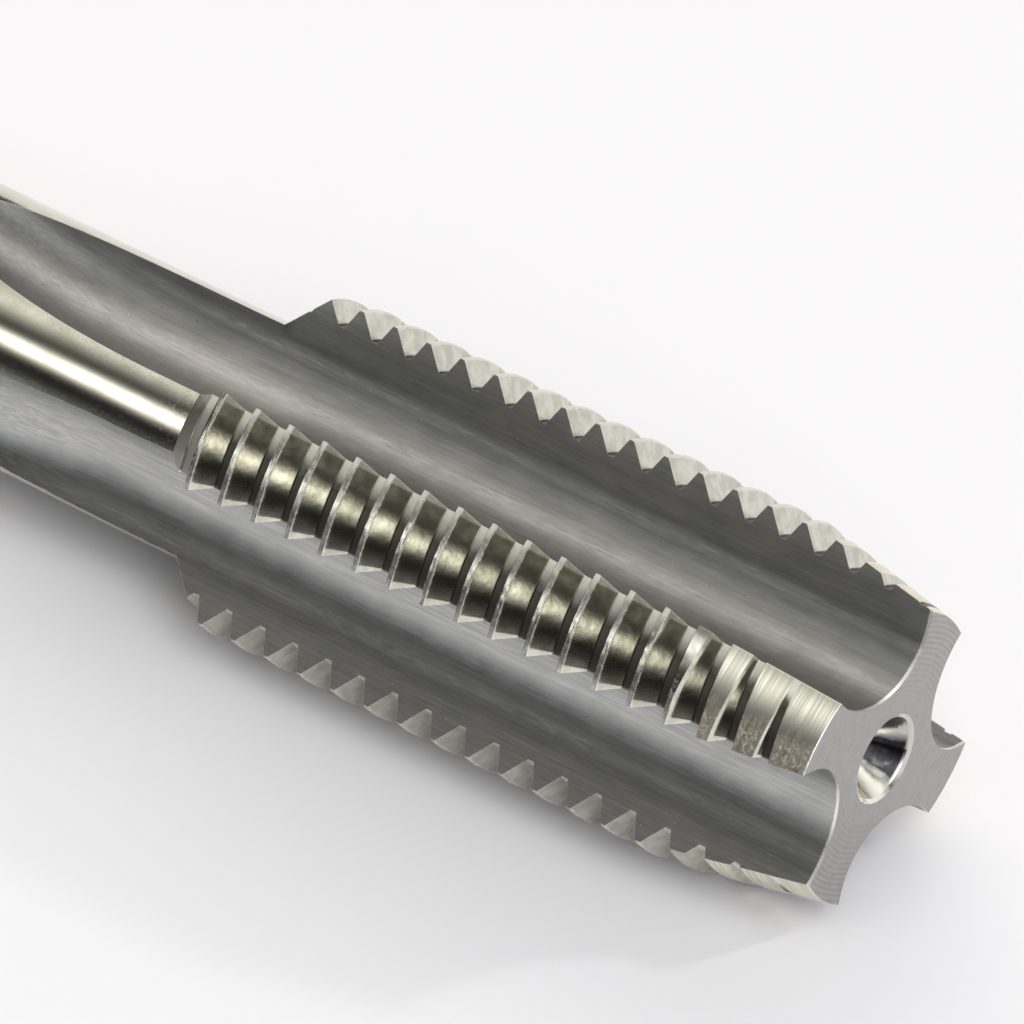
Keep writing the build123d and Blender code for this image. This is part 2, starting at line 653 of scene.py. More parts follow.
    def _surface(
        self, net: Net, size: dict[str, Term], tooth: Term, step: Term, cut: Term, share: Term
    ) -> Term:
        """Place of one grid point on the lands.

        Args:
            net: the tree.
            size: its inputs.
            tooth: which tooth of the row, counted from the rear.
            step: which row of that tooth.
            cut: angle of the land's cutting edge.
            share: 0 at the heel to 1 at the cutting edge.

        Returns:
            The point in metres.
        """
        rows, run = self.rows, self.sizes.flank_run
        crest, root = size["Crest radius"], size["Root radius"]
        half_crest = size["Crest flat"] / 2.0
        rise, foot = size["Step rise"], size["Step foot"]
        guess = cut - size["Land angle"] + size["Land angle"] * share
        middle = size["First crest"] + tooth * size["Pitch"] + size["Pitch"] * guess / 360.0

        def top(side: float) -> Term:
            """Highest point of the flank on one side of the tooth.

            Args:
                side: -1 for the flank towards the rear, 1 for the one towards the tip.

            Returns:
                Its radius.
            """
            radius: Number = crest
            for _ in range(self.crest_rounds):
                x = middle + (half_crest + (crest - radius) * run) * side
                radius = net.least(crest, self._limit(net, size, x, guess, cut))
            start = middle + (half_crest + crest * run) * side - foot
            step_top = (size["Neck radius"] + rise * start) / (1.0 + rise * (run * side))
            return net.most(net.least(radius, step_top), root)

        rear_top, front_top = top(-1.0), top(1.0)
        up = net.clamp(step / rows.flank, 0.0, 1.0)
        over = net.clamp((step - rows.flank) / rows.crest, 0.0, 1.0)
        down = net.clamp((step - rows.flank - rows.crest) / rows.flank, 0.0, 1.0)
        ahead = net.clamp((step - 2 * rows.flank - rows.crest) / rows.root, 0.0, 1.0)
        rising = root + (rear_top - root) * up
        falling = front_top + (root - front_top) * down
        half_row = 0.5
        past_rise = step > rows.flank + half_row
        on_crest = past_rise * (step < rows.flank + rows.crest - half_row)
        first_on_crest = past_rise * (step < rows.flank + 1 + half_row)
        before = step < rows.flank + half_row
        line = before * rising + (1.0 - before) * falling
        line = line + (crest - line) * on_crest
        rear_foot = -half_crest - (crest - root) * run
        rear_x = -half_crest - (crest - rear_top) * run
        front_x = half_crest + (crest - front_top) * run
        kink = (crest - size["Neck radius"]) / rise + foot - middle
        crest_x = rear_x + (front_x - rear_x) * over
        inside = (kink > rear_x) * (kink < front_x) * first_on_crest
        offset = (
            rear_foot + (rear_x - rear_foot) * up
            + (crest_x - rear_x)
            + (-rear_foot - front_x) * down
            + size["Root flat"] * ahead
            + (kink - crest_x) * inside
        )
        angle = self._walls(net, size, line, cut, share)
        x = size["First crest"] + tooth * size["Pitch"] + size["Pitch"] * angle / 360.0 + offset
        front = size["Tip"] - size["Front break"]
        line = net.most(line, (x > front) * crest)
        x = net.clamp(x, foot, front)
        for _ in range(self.limit_rounds):
            radius = net.least(line, self._limit(net, size, x, angle, cut))
            radius = net.least(radius, size["Neck radius"] + rise * (x - foot))
            angle = self._walls(net, size, radius, cut, share)
        radius = radius - self._chips(net, size, x, angle, radius)
        angle = self._walls(net, size, radius, cut, share)
        turn = net.math("RADIANS", angle)
        y = radius * net.math("COSINE", turn)
        z = radius * net.math("SINE", turn) + size["Axis height"]
        return net.vector(x * MM, y * MM, z * MM)

    def _chips(self, net: Net, size: dict[str, Term], x: Term, angle: Term, radius: Term) -> Term:
        """Small nicks in the crests.

        Args:
            net: the tree.
            size: its inputs.
            x: place along the axis.
            angle: angle in degrees.
            radius: distance from the axis.

        Returns:
            How deep the crest is nicked at that point.
        """
        turn = net.math("RADIANS", angle)
        place = net.vector(x, radius * net.math("COSINE", turn), radius * net.math("SINE", turn))
        noise = net.term(
            "ShaderNodeTexNoise",
            {"noise_dimensions": "4D"},
            {"Vector": place, "W": size["Seed"], "Scale": 1.0 / size["Chip size"], "Detail": 2.0},
        )
        deep = net.clamp((noise - self.chip_level) * self.chip_steepness, 0.0, 1.0)
        reach = size["Chip reach"]
        near = net.clamp((radius - size["Crest radius"] + reach) / reach, 0.0, 1.0)
        return size["Chip depth"] * deep * near

    def points(self, material: bpy.types.Material) -> np.ndarray:
        """Make the lands and read them back.

        Args:
            material: the finish of the teeth.

        Returns:
            Points in millimetres, by row, land and column.
        """
        shell = placed("lands_shell", bpy.data.meshes.new("lands_shell"))
        modifier = shell.modifiers.new("lands", "NODES")
        modifier.node_group = self.tree(material)
        values = self.values()
        for item in modifier.node_group.interface.items_tree:
            if item.in_out == "INPUT":
                modifier[item.identifier] = values[item.name]
        graph = bpy.context.evaluated_depsgraph_get()
        plain = bpy.data.meshes.new_from_object(shell.evaluated_get(graph))
        flat = np.empty(len(plain.vertices) * 3, dtype=np.float32)
        plain.vertices.foreach_get("co", flat)
        bpy.data.objects.remove(shell)
        bpy.data.meshes.remove(plain)
        shape = (self.rows.rows, self.sizes.flute_count, self.rows.columns + 1, 3)
        return flat.reshape(shape).astype(float) / MM


class Part(Enum):
    """Areas of the tap that are ground or turned in different ways."""

    TEETH = 0
    CHAMFER = 1
    FLUTE = 2
    FACE = 3
    CENTRE = 4
    SHANK = 5


class Shell:
    """A mesh that is gathered from patches of points."""

    SHARP_ANGLE = 28.0
    FAR_FROM_EDGE = 1.0

    def __init__(self) -> None:
        """Start empty."""
        self.points: list[np.ndarray] = []
        self.edges: list[np.ndarray] = []
        self.count = 0
        self.faces: list[np.ndarray] = []
        self.kinds: list[np.ndarray] = []

    def add(self, points: np.ndarray, edge: np.ndarray | None = None) -> np.ndarray:
        """Add points of any shape with three coordinates last.

        Args:
            points: the points.
            edge: distance of each point to the nearest ground edge beside it, if it has one.

        Returns:
            Their numbers, in the same shape.
        """
        flat = points.reshape(-1, 3)
        numbers = np.arange(self.count, self.count + len(flat))
        self.points.append(flat)
        far = np.full(len(flat), self.FAR_FROM_EDGE)
        self.edges.append(far if edge is None else edge.reshape(-1))
        self.count += len(flat)
        return numbers.reshape(points.shape[:-1])

    def quads(self, numbers: np.ndarray, kind: Part, closed: bool = False) -> None:
        """Fill a grid of point numbers with faces.

        Args:
            numbers: point numbers by row and column. A row further along +X comes later, and
                a column further round from +Y towards +Z comes later.
            kind: the area that the faces belong to.
            closed: whether the last column joins the first.
        """
        if closed:
            numbers = np.concatenate([numbers, numbers[:, :1]], axis=1)
        a, b = numbers[:-1, :-1], numbers[1:, :-1]
        c, d = numbers[1:, 1:], numbers[:-1, 1:]
        quads = np.stack([a, b, c, d], axis=-1).reshape(-1, 4)
        self.faces.append(quads)
        self.kinds.append(np.full(len(quads), kind.value))

    def triangles(self, numbers: np.ndarray, kind: Part) -> None:
        """Add triangles by point numbers."""
        self.faces.append(np.concatenate([numbers, numbers[:, :1]], axis=1))
        self.kinds.append(np.full(len(numbers), kind.value))

    def mesh(self, name: str, join: float = 0.0015) -> bpy.types.Mesh:
        """Join points that meet, drop empty faces and make the mesh in metres.

        Args:
            name: the mesh's name.
            join: points nearer than this many millimetres become one.

        Returns:
            The mesh, with one material slot number for each area.
        """
        points = np.concatenate(self.points)
        faces = np.concatenate(self.faces)
        kinds = np.concatenate(self.kinds)
        home = joined(points, join)
        faces = home[faces]
        corners, areas = [], []
        for face, kind in zip(faces.tolist(), kinds.tolist()):
            ring = [n for i, n in enumerate(face) if n != face[i - 1]]
            if len(ring) >= 3 and len(set(ring)) == len(ring):
                corners.append(ring)
                areas.append(kind)
        flat = np.concatenate([np.array(ring) for ring in corners])
        used, inverse = np.unique(flat, return_inverse=True)
        renumbered, start = [], 0
        for ring in corners:
            renumbered.append(inverse[start:start + len(ring)].tolist())
            start += len(ring)
        made = bpy.data.meshes.new(name)
        made.from_pydata((points[used] * MM).tolist(), [], renumbered)
        edge = np.concatenate(self.edges)[used].astype(np.float32)
        made.attributes.new("edge", "FLOAT", "POINT").data.foreach_set("value", edge)
        made.polygons.foreach_set("material_index", areas)
        made.polygons.foreach_set("use_smooth", [True] * len(areas))
        outward(made)
        made.set_sharp_from_angle(angle=math.radians(self.SHARP_ANGLE))
        return made


def outward(made: bpy.types.Mesh) -> None:
    """Turn the faces of a closed mesh outwards.

    Args:
        made: the mesh, which is changed.
    """
    body = bmesh.new()
    body.from_mesh(made)
    bmesh.ops.recalc_face_normals(body, faces=body.faces)
    body.to_mesh(made)
    body.free()
    made.update()


def joined(points: np.ndarray, distance: float) -> np.ndarray:
    """Number of the point that each point is joined to.

    Args:
        points: points by row.
        distance: points nearer than this become one.

    Returns:
        One point number for each point.
    """
    tree = KDTree(len(points))
    for number, point in enumerate(points.tolist()):
        tree.insert(point, number)
    tree.balance()
    home = np.full(len(points), -1)
    for number, point in enumerate(points.tolist()):
        if home[number] < 0:
            home[number] = number
            for _, other, _ in tree.find_range(point, distance):
                if home[other] < 0:
                    home[other] = number
    return home


@dataclass(frozen=True)
class CentreHole:
    """A lathe centre: bevel, cone, pilot and drill point, turned about the axis."""

    mouth: float
    bevel_width: float
    bevel_angle: float
    pilot: float
    pilot_depth: float
    ripple: float = 0.0
    ripple_pitch: float = 0.16
    ripple_fade: float = 8.0
    point_angle: float = 118.0
    cone_angle: float = 60.0
    cone_rows: int = 60

    def profile(self) -> list[tuple[float, float]]:
        """Outline of the hole in a plane through its axis.

        Returns:
            Depth and radius of each point, from the mouth inwards.
        """
        bevel_depth = self.bevel_width / tand(self.bevel_angle / 2)
        start = self.mouth / 2 - self.bevel_width
        length = (start - self.pilot / 2) / tand(self.cone_angle / 2)
        rows = []
        for step in range(self.cone_rows + 1):
            share = step / self.cone_rows
            depth = bevel_depth + length * share
            wave = math.sin(2 * math.pi * length * share / self.ripple_pitch) * self.ripple
            fade = min(1.0, self.ripple_fade * share, self.ripple_fade * (1 - share))
            rows.append((depth, start + (self.pilot / 2 - start) * share + wave * fade))
        point = self.pilot_depth + self.pilot / 2 / tand(self.point_angle / 2)
        return [*rows, (self.pilot_depth, self.pilot / 2), (point, 0.0)]


@dataclass(frozen=True)
class ShankForm:
    """Cross-sections of the plain shank and its driving square.

    All have the same columns: each flat and each corner between two of them takes its share.
    Before the square the flats have no width.
    """

    sizes: TapSizes
    columns: int
    flats: int = 4
    corner_columns: int = 6
    plain_sections: int = 24
    nose_steps: int = 12

    @property
    def step(self) -> float:
        """Angle from one flat to the next."""
        return 360 / self.flats

    def angles(self, centre: float, half: float) -> np.ndarray:
        """Angles of the columns.

        Args:
            centre: angle of the first flat's middle.
            half: degrees that a flat spans to either side of its middle.

        Returns:
            The angles in degrees.
        """
        wide, narrow = self.columns - self.corner_columns, self.corner_columns
        angles = []
        for side in range(self.flats):
            middle, corner = centre + self.step * side, self.step - 2 * half
            angles += [middle - half + 2 * half * i / wide for i in range(wide)]
            angles += [middle + half + corner * i / narrow for i in range(narrow)]
        return np.array(angles)

    def section(self, centre: float, radius: float, flat: float) -> np.ndarray:
        """One cross-section with flats.

        Args:
            centre: angle of the first flat's middle.
            radius: radius of the round between the flats.
            flat: distance of the flats from the axis.

        Returns:
            Its points as complex numbers.
        """
        half = math.degrees(math.acos(min(1.0, flat / radius)))
        angles = self.angles(centre, half)
        local = (angles - centre + self.step / 2) % self.step - self.step / 2
        on_flat = np.abs(local) <= half + NEARLY
        reach = np.where(on_flat, flat / np.cos(np.radians(local)), radius)
        return np.minimum(reach, radius) * np.exp(1j * np.radians(angles))

    def sections(self, start: float, end: float) -> list[tuple[float, np.ndarray]]:
        """Cross-sections from the flutes' end to the rear face.

        The flats leave the round along the arc of the milling cutter, and end in a chamfer.

        Args:
            start: angle of the first column where the flutes end.
            end: place where the flutes end.

        Returns:
            The place and the points of each.
        """
        s = self.sizes
        centre = self.step * round((start + self.step / 2) / self.step)
        uniform = start + np.arange(self.flats * self.columns) * self.step / self.columns
        target = self.angles(centre, 0.0)
        across = s.square_across_flats / 2
        shoulder = s.rear + s.square_length
        nose, top = s.square_nose_radius, across + s.square_nose_radius
        lift = math.sqrt(nose**2 - (top - s.neck) ** 2)
        made = []
        for share in np.linspace(0, 1, self.plain_sections + 2)[1:-1]:
            angles = uniform + (target - uniform) * share**2 * (3 - 2 * share)
            x = end + (shoulder - end) * share
            made.append((x, s.neck * np.exp(1j * np.radians(angles))))
        for step in range(self.nose_steps + 1):
            rest = lift * (1 - step / self.nose_steps)
            flat = top - math.sqrt(nose**2 - rest**2)
            made.append((shoulder - nose + rest, self.section(centre, s.neck, flat)))
        for share in (0.5, 1.0):
            x = shoulder - nose + (s.rear + s.shank_end_chamfer - shoulder + nose) * share
            made.append((x, self.section(centre, s.neck, across)))
        made.append((s.rear, self.section(centre, s.neck - s.shank_end_chamfer, across)))
        return made


@dataclass(frozen=True)
class LandGrid:
    """Points of the lands by row, land and column, with the columns from heel to cutting edge.

    The rows of the shank come first, then the thread's, and the front face's one is the last.
    """

    points: np.ndarray
    numbers: np.ndarray
    shank_x: list[float]

    @property
    def first(self) -> int:
        """The thread's first row."""
        return len(self.shank_x)

    @property
    def last(self) -> int:
        """The thread's last row."""
        return len(self.points) - 2


@dataclass
class TapBody:
    """The whole tap as one closed shell: flutes, front and shank are joined to the lands."""

    sizes: TapSizes = field(default_factory=TapSizes)
    flute_columns: int = 26
    neck_rows: int = 34
    neck_reach: float = 0.4
    hole_sides: int = 96
    angle_rounds: int = 6
    below_root: float = 0.002
    front_centre: CentreHole = CentreHole(
        mouth=2.9, bevel_width=0.13, bevel_angle=120.0, pilot=1.25, pilot_depth=3.6, ripple=0.0006
    )
    rear_centre: CentreHole = CentreHole(
        mouth=3.35, bevel_width=0.0, bevel_angle=120.0, pilot=1.6, pilot_depth=4.6
    )

    def __post_init__(self) -> None:
        """Walk the flute's outline once."""
        self.section = FluteSection(self.sizes)
        self.lands = ThreadedLands(self.sizes, self.section)
        self.walked, self.outline = self.section.walk()
        self.bottom = int(np.argmin(np.abs(self.outline)))

    def at(self, length: np.ndarray) -> np.ndarray:
        """Outline points at lengths walked along it, as complex numbers."""
        real = np.interp(length, self.walked, self.outline.real)
        return real + 1j * np.interp(length, self.walked, self.outline.imag)

    def on_rake(self, radius: np.ndarray) -> np.ndarray:
        """Length walked to a radius on the rake side."""
        side = slice(self.bottom, None, -1)
        return np.interp(radius, np.abs(self.outline[side]), self.walked[side])

    def on_heel(self, radius: np.ndarray) -> np.ndarray:
        """Length walked to a radius on the heel side."""
        side = slice(self.bottom, None)
        return np.interp(radius, np.abs(self.outline[side]), self.walked[side])

    def chamfer_limit(self, back: float, behind: np.ndarray) -> np.ndarray:
        """Radius of the relieved chamfer.

        Args:
            back: distance from the tip.
            behind: degrees behind the cutting edge.

        Returns:
            The radius at each angle.
        """
        s = self.sizes
        flat = s.chamfer_start + s.chamfer_slope * back
        edge = s.chamfer_start + (s.chamfer_slope - 1) * s.front_break + back
        aside = s.relief_offset * np.cos(np.radians(90 - s.land_angle / 2 + behind))
        return aside + np.sqrt(aside**2 - s.relief_offset**2 + min(flat, edge) ** 2)

    def ring(self, points: np.ndarray, x: float | np.ndarray) -> np.ndarray:
        """Lift complex cross-section points to X, Y and Z."""
        x = np.broadcast_to(x, points.shape)
        return np.stack([x, points.real, points.imag + self.sizes.axis_height], axis=-1)

    def reach(self, point: np.ndarray) -> float:
        """Distance of a lifted point from the axis."""
        return np.hypot(point[1], point[2] - self.sizes.axis_height)

    def across(self, before: np.ndarray, behind: np.ndarray) -> tuple[float, float]:
        """Lengths walked on the outline at two lifted points, on its rake and heel side."""
        return self.on_rake(self.reach(before)), self.on_heel(self.reach(behind))

    def cut(self, land: int) -> float:
        """Angle of a land's cutting edge."""
        return self.sizes.first_cut + land * 360 / self.sizes.flute_count

    def neck_land(self, x: float, land: int) -> np.ndarray:
        """Points of one land on the plain shank between two flutes.

        Args:
            x: place along the axis.
            land: which land.

        Returns:
            A row of points from heel to cutting edge.
        """
        rake, heel = self.neck_bounds(x)
        start = math.degrees(np.angle(heel)) + self.cut(land) - 360 / self.sizes.flute_count
        end = math.degrees(np.angle(rake)) + self.cut(land)
        turn = np.radians(np.linspace(start, end, self.lands.rows.columns + 1))
        return self.ring(self.sizes.neck * np.exp(1j * turn), x)

    def neck_lengths(self, x: float) -> tuple[float, float]:
        """Where the flute's outline crosses the round of the shank.

        Args:
            x: place along the axis.

        Returns:
            The length walked on its rake side and on its heel side.
        """
        radius = np.abs(self.section.lifted(self.outline, x))
        low = int(np.argmin(radius))
        neck = self.sizes.neck
        if radius[low] >= neck:
            return float(self.walked[low]), float(self.walked[low])
        rake = np.interp(neck, radius[low::-1], self.walked[low::-1])
        heel = np.interp(neck, radius[low:], self.walked[low:])
        return float(rake), float(heel)

    def neck_bounds(self, x: float) -> tuple[complex, complex]:
        """Points where the flute leaves the shank, with its cutting edge at 0 degrees.

        Args:
            x: place along the axis.

        Returns:
            The point on its rake side and on its heel side.
        """
        points = self.section.lifted(self.at(np.array(self.neck_lengths(x))), x)
        return complex(points[0]), complex(points[1])

    def front_land(self, land: int) -> np.ndarray:
        """Points of one land on the front face.

        Args:
            land: which land.

        Returns:
            A row of points from heel to cutting edge.
        """
        s = self.sizes
        share = np.linspace(0, 1, self.lands.rows.columns + 1)
        behind = s.land_angle * (1 - share)
        for _ in range(self.angle_rounds):
            radius = self.chamfer_limit(0.0, behind)
            rake = np.degrees(np.angle(self.at(self.on_rake(radius))))
            heel = np.degrees(np.angle(self.at(self.on_heel(radius)))) - 360 / s.flute_count
            behind = -(heel + (rake - heel) * share)
        turn = np.radians(self.cut(land) - behind)
        return self.ring(radius * np.exp(1j * turn), s.tip)

    def build(self, teeth_finish: bpy.types.Material) -> bpy.types.Mesh:
        """Make the shell.

        Args:
            teeth_finish: the finish that the screw thread's tree sets.

        Returns:
            The mesh of the whole tap.
        """
        s, shell = self.sizes, Shell()
        thread = self.lands.points(teeth_finish)
        lands = range(s.flute_count)
        end = s.flute_end - self.section.run_out()
        ease = np.linspace(1, 0, self.neck_rows)
        neck_x = [end + (s.flute_end - end) * q * q for q in ease[::-1]]
        neck_x.append(s.flute_end + self.neck_reach * (s.step_foot - s.flute_end))
        neck = np.array([[self.neck_land(x, land) for land in lands] for x in neck_x])
        front = np.array([[self.front_land(land) for land in lands]])
        points = np.concatenate([neck, thread, front])
        steps = np.linalg.norm(np.diff(points, axis=2), axis=-1)
        walked = np.concatenate([np.zeros_like(steps[:, :, :1]), np.cumsum(steps, axis=2)], axis=2)
        edge = np.minimum(walked, walked[:, :, -1:] - walked)
        grid = LandGrid(points, shell.add(points, edge), neck_x)
        for land in lands:
            self._land_faces(shell, grid, land)
            self._flute_faces(shell, grid, land)
        self._front(shell, grid.numbers[-1], points[-1])
        self._rear(shell, grid.numbers[0], end)
        return shell.mesh("tap_body")

    def _land_faces(self, shell: Shell, grid: LandGrid, land: int) -> None:
        """Fill one land's rows with faces.

        Args:
            shell: the shell.
            grid: the points of all lands.
            land: which land.
        """
        shell.quads(grid.numbers[: grid.first + 1, land], Part.SHANK)
        tooth = self.lands.rows
        limit = self.sizes.tip - self.sizes.chamfer_length
        for row in range(grid.first, grid.last + 1):
            step = (row - grid.first) % tooth.per_pitch
            crest = tooth.flank <= step < tooth.flank + tooth.crest
            points = grid.points[row, land]
            below = self.reach(points[-1]) < self.sizes.root - self.below_root
            ground = (crest or below) and points[:, 0].mean() > limit
            kind = Part.CHAMFER if ground or row == grid.last else Part.TEETH
            shell.quads(grid.numbers[row : row + 2, land], kind)

    def _flute_faces(self, shell: Shell, grid: LandGrid, land: int) -> None:
        """Fill the flute after one land's cutting edge.

        From the last land to the first the screw has gone round once, so the rows that are
        joined there lie one pitch apart.

        Args:
            shell: the shell.
            grid: the points of all lands.
            land: the land before the flute.
        """
        after = (land + 1) % self.sizes.flute_count
        pitch_rows = self.lands.rows.per_pitch if after == 0 else 0
        pairs = [(row, row) for row in range(grid.first)]
        for row in range(grid.first - pitch_rows, grid.last + 1):
            pairs.append((max(row, grid.first), min(row + pitch_rows, grid.last)))
        pairs.append((grid.last + 1, grid.last + 1))
        share = np.linspace(0, 1, self.flute_columns + 1)[1:-1]
        turn = turned(self.cut(land))
        strips, edges = [], []
        for before, behind in pairs:
            a, b = grid.points[before, land, -1], grid.points[behind, after, 0]
            if before < grid.first:
                x = grid.shank_x[before]
                rake, heel = self.neck_lengths(x)
                points = self.section.lifted(self.at(rake + (heel - rake) * share), x)
            else:
                rake, heel = self.across(a, b)
                points = self.at(rake + (heel - rake) * share)
            strips.append(self.ring(points * turn, a[0] + (b[0] - a[0]) * share))
            edges.append(abs(heel - rake) * np.minimum(share, 1 - share))
        inner = shell.add(np.array(strips), np.array(edges))
        left = np.array([grid.numbers[before, land, -1] for before, _ in pairs])[:, None]
        right = np.array([grid.numbers[behind, after, 0] for _, behind in pairs])[:, None]
        shell.quads(np.concatenate([left, inner, right], axis=1), Part.FLUTE)

    def _front(self, shell: Shell, numbers: np.ndarray, points: np.ndarray) -> None:
        """Close the front face round its centre hole.

        Args:
            shell: the shell.
            numbers: point numbers of the front ring, by land and column.
            points: their places.
        """
        s = self.sizes
        share = np.linspace(0, 1, self.flute_columns + 1)[1:-1]
        outline, ring = [], []
        for land in range(s.flute_count):
            after = (land + 1) % s.flute_count
            outline.extend(numbers[land])
            ring.extend(points[land])
            rake, heel = self.across(points[land, -1], points[after, 0])
            level = self.at(rake + (heel - rake) * share) * turned(self.cut(land))
            between = self.ring(level, s.tip)
            outline.extend(shell.add(between))
            ring.extend(between)
        self._close(shell, np.array(outline), np.array(ring), self.front_centre, s.tip, True)

    def _close(
        self,
        shell: Shell,
        outline: np.ndarray,
        ring: np.ndarray,
        centre: CentreHole,
        x: float,
        forward: bool,
    ) -> None:
        """Fill a flat end face and turn its centre hole.

        Args:
            shell: the shell.
            outline: point numbers of the face's rim, counted from +Y towards +Z.
            ring: their places.
            centre: the hole in its middle.
            x: place of the face.
            forward: True where it faces +X.
        """
        turn = np.exp(2j * np.pi * np.arange(self.hole_sides) / self.hole_sides)
        inward = -1 if forward else 1
        rows = [self.ring(turn * radius, x + inward * depth) for depth, radius in centre.profile()]
        rim = self.ring(turn * centre.mouth / 2, x)
        hole = shell.add(np.array([rim, *rows]))
        shell.quads(hole if not forward else hole[::-1], Part.CENTRE, closed=True)
        flat = [Vector((p[1], p[2])) for p in ring]
        flat += [Vector((p[1], p[2])) for p in rim]
        edge, sides = len(ring), self.hole_sides
        borders = [(i, (i + 1) % edge) for i in range(edge)]
        borders += [(edge + i, edge + (i + 1) % sides) for i in range(sides)]
        everything = 0
        places, _, faces, origin, _, _ = delaunay_2d_cdt(
            flat, borders, [], everything, NEARLY, True
        )
        every = np.concatenate([outline, hole[0]])
        home = [every[names[0]] for names in origin]
        kept = []
        border, mouth = ring[:, 1] + 1j * ring[:, 2], rim[:, 1] + 1j * rim[:, 2]
        for face in faces:
            middle = sum((places[n] for n in face), Vector((0, 0))) / 3
            level = complex(middle.x, middle.y)
            if inside(level, border) and not inside(level, mouth):
                corners = [home[n] for n in face]
                a, b, c = (places[n] for n in face)
                turns_left = (b - a).cross(c - a) > 0
                kept.append(corners if turns_left == forward else corners[::-1])
        shell.triangles(np.array(kept), Part.FACE)

    def _rear(self, shell: Shell, numbers: np.ndarray, end: float) -> None:
        """Make the plain shank, its driving square, the end chamfer and the rear face.

        Args:
            shell: the shell.
            numbers: point numbers of the last ring before the plain shank.
            end: place of that ring.
        """
        s = self.sizes
        ring = np.concatenate([numbers[land, :-1] for land in range(s.flute_count)])
        _, heel = self.neck_bounds(end)
        start = math.degrees(np.angle(heel)) + self.cut(0) - 360 / s.flute_count
        form = ShankForm(s, self.lands.rows.columns)
        sections = [self.ring(points, x) for x, points in form.sections(start, end)]
        shank = shell.add(np.array(sections))
        shell.quads(np.concatenate([ring[None], shank])[::-1], Part.SHANK, closed=True)
        self._close(shell, shank[-1], sections[-1], self.rear_centre, s.rear, False)


def inside(point: complex, ring: np.ndarray) -> bool:
    """Whether a flat point lies inside a closed ring.

    Args:
        point: the point as a complex number.
        ring: the ring's corners as complex numbers.

    Returns:
        True where it lies inside.
    """
    ahead = np.roll(ring, -1)
    crosses = (ring.imag > point.imag) != (ahead.imag > point.imag)
    rise, run = ahead.imag - ring.imag, ahead.real - ring.real
    with np.errstate(divide="ignore", invalid="ignore"):
        at = ring.real + (point.imag - ring.imag) * run / rise
    return bool(np.sum(crosses & (at > point.real)) % 2)


class SurfaceNet(Net):
    """A material's tree, with the patterns that the finishes share.

    A Band gives the value where something is absent and the value where it is complete. A
    Window gives where it starts, is complete, begins to fade and has gone.
    """

    def noise(
        self,
        place: Term,
        scale: float | tuple[float, float, float],
        detail: float = 2.0,
        seed: float = 0.0,
    ) -> Term:
        """Noise that may be stretched along the axes.

        Args:
            place: the point.
            scale: how many features each millimetre has, along every axis or each of them.
            detail: how many finer layers.
            seed: which noise.

        Returns:
            The noise, mostly 0.3 to 0.7.
        """
        along = scale if isinstance(scale, tuple) else (scale, scale, scale)
        away = tuple(seed * step for step in NOISE_STEP)
        moved = self.vector_math("MULTIPLY_ADD", place, along, away)
        values = {"Vector": moved, "Scale": 1.0, "Detail": detail}
        return self.term("ShaderNodeTexNoise", values=values)

    def specks(self, place: Term, scale: float, share: float, seed: float = 0.0) -> Term:
        """Small round spots, strewn at random.

        Args:
            place: the point.
            scale: how many cells each millimetre has.
            share: how much of each cell its spot covers, 0 to 1.
            seed: which spots.

        Returns:
            1 in a spot and 0 beside it.
        """
        moved = self.vector_math("ADD", place, tuple(seed * step for step in SPECK_STEP))
        cell = self.term("ShaderNodeTexVoronoi", values={"Vector": moved, "Scale": scale})
        return self.contrast(cell, (share, share * SPECK_CORE))

    def round_place(self, place: Term) -> tuple[Term, Term, Term]:
        """Place along the axis, distance from it and angle about it in degrees."""
        x, y, z = self.parts(place)
        return x, self.root(y * y + z * z), self.math("DEGREES", self.math("ARCTAN2", z, y))

    def unrolled(self, x: Term, radius: Term, angle: Term) -> Term:
        """A point whose third value goes round the axis, for lines that a wheel or lathe leaves."""
        return self.vector(x, radius, angle / RADIAN)

    def full_turn(self, angle: Term) -> Term:
        """An angle about the axis, from 0 to 360 degrees."""
        return self.math("FRACT", angle / 360) * 360

    def edge(self) -> Term:
        """Distance in millimetres to the nearest edge between a land and a flute."""
        return self.term("ShaderNodeAttribute", {"attribute_name": "edge"}, output="Fac")

    def contrast(self, value: Term, band: Band, start: float = 0.0) -> Term:
        """Stretch a value to 0 and 1 over a band.

        Args:
            value: the value.
            band: the values that give 0 and 1, counted from start.
            start: where the band counts from.

        Returns:
            The stretched value, held between 0 and 1.
        """
        low, high = start + band[0], start + band[1]
        return self.clamp((value - low) / (high - low), 0.0, 1.0)

    def within(self, value: Term, window: Window) -> Term:
        """Show a window of values.

        Args:
            value: the value.
            window: where it starts, is complete, begins to fade and has gone.

        Returns:
            1 inside the window and 0 outside it, with soft ends.
        """
        starts, complete, fades, gone = window
        fade = self.contrast(value, (gone, fades))
        return fade * self.contrast(value, (starts, complete))

    def mixed(self, share: Number, first: Any, second: Any) -> Term:
        """Mix two colours.

        Args:
            share: how much of the second, 0 to 1.
            first: a Term or three numbers.
            second: a Term or three numbers.

        Returns:
            The mixed colour.
        """
        first, second = (c if isinstance(c, Term) else (*c, 1.0) for c in (first, second))
        inputs = {MIX_FACTOR: share, MIX_FIRST: first, MIX_SECOND: second}
        return self.term("ShaderNodeMix", {"data_type": "RGBA"}, inputs, output=MIX_COLOUR)


@dataclass(frozen=True)
class Look:
    """What changes over a finish: each value is a Term of its material's tree, or a number."""

    tone: Number
    rough: Number
    height: Number
    # Real wear, and in some finishes painted light and painted highlights.
    wear_and_light: Number
    # Real stains, and in some finishes painted shade.
    stain_and_shade: Number = 0.0


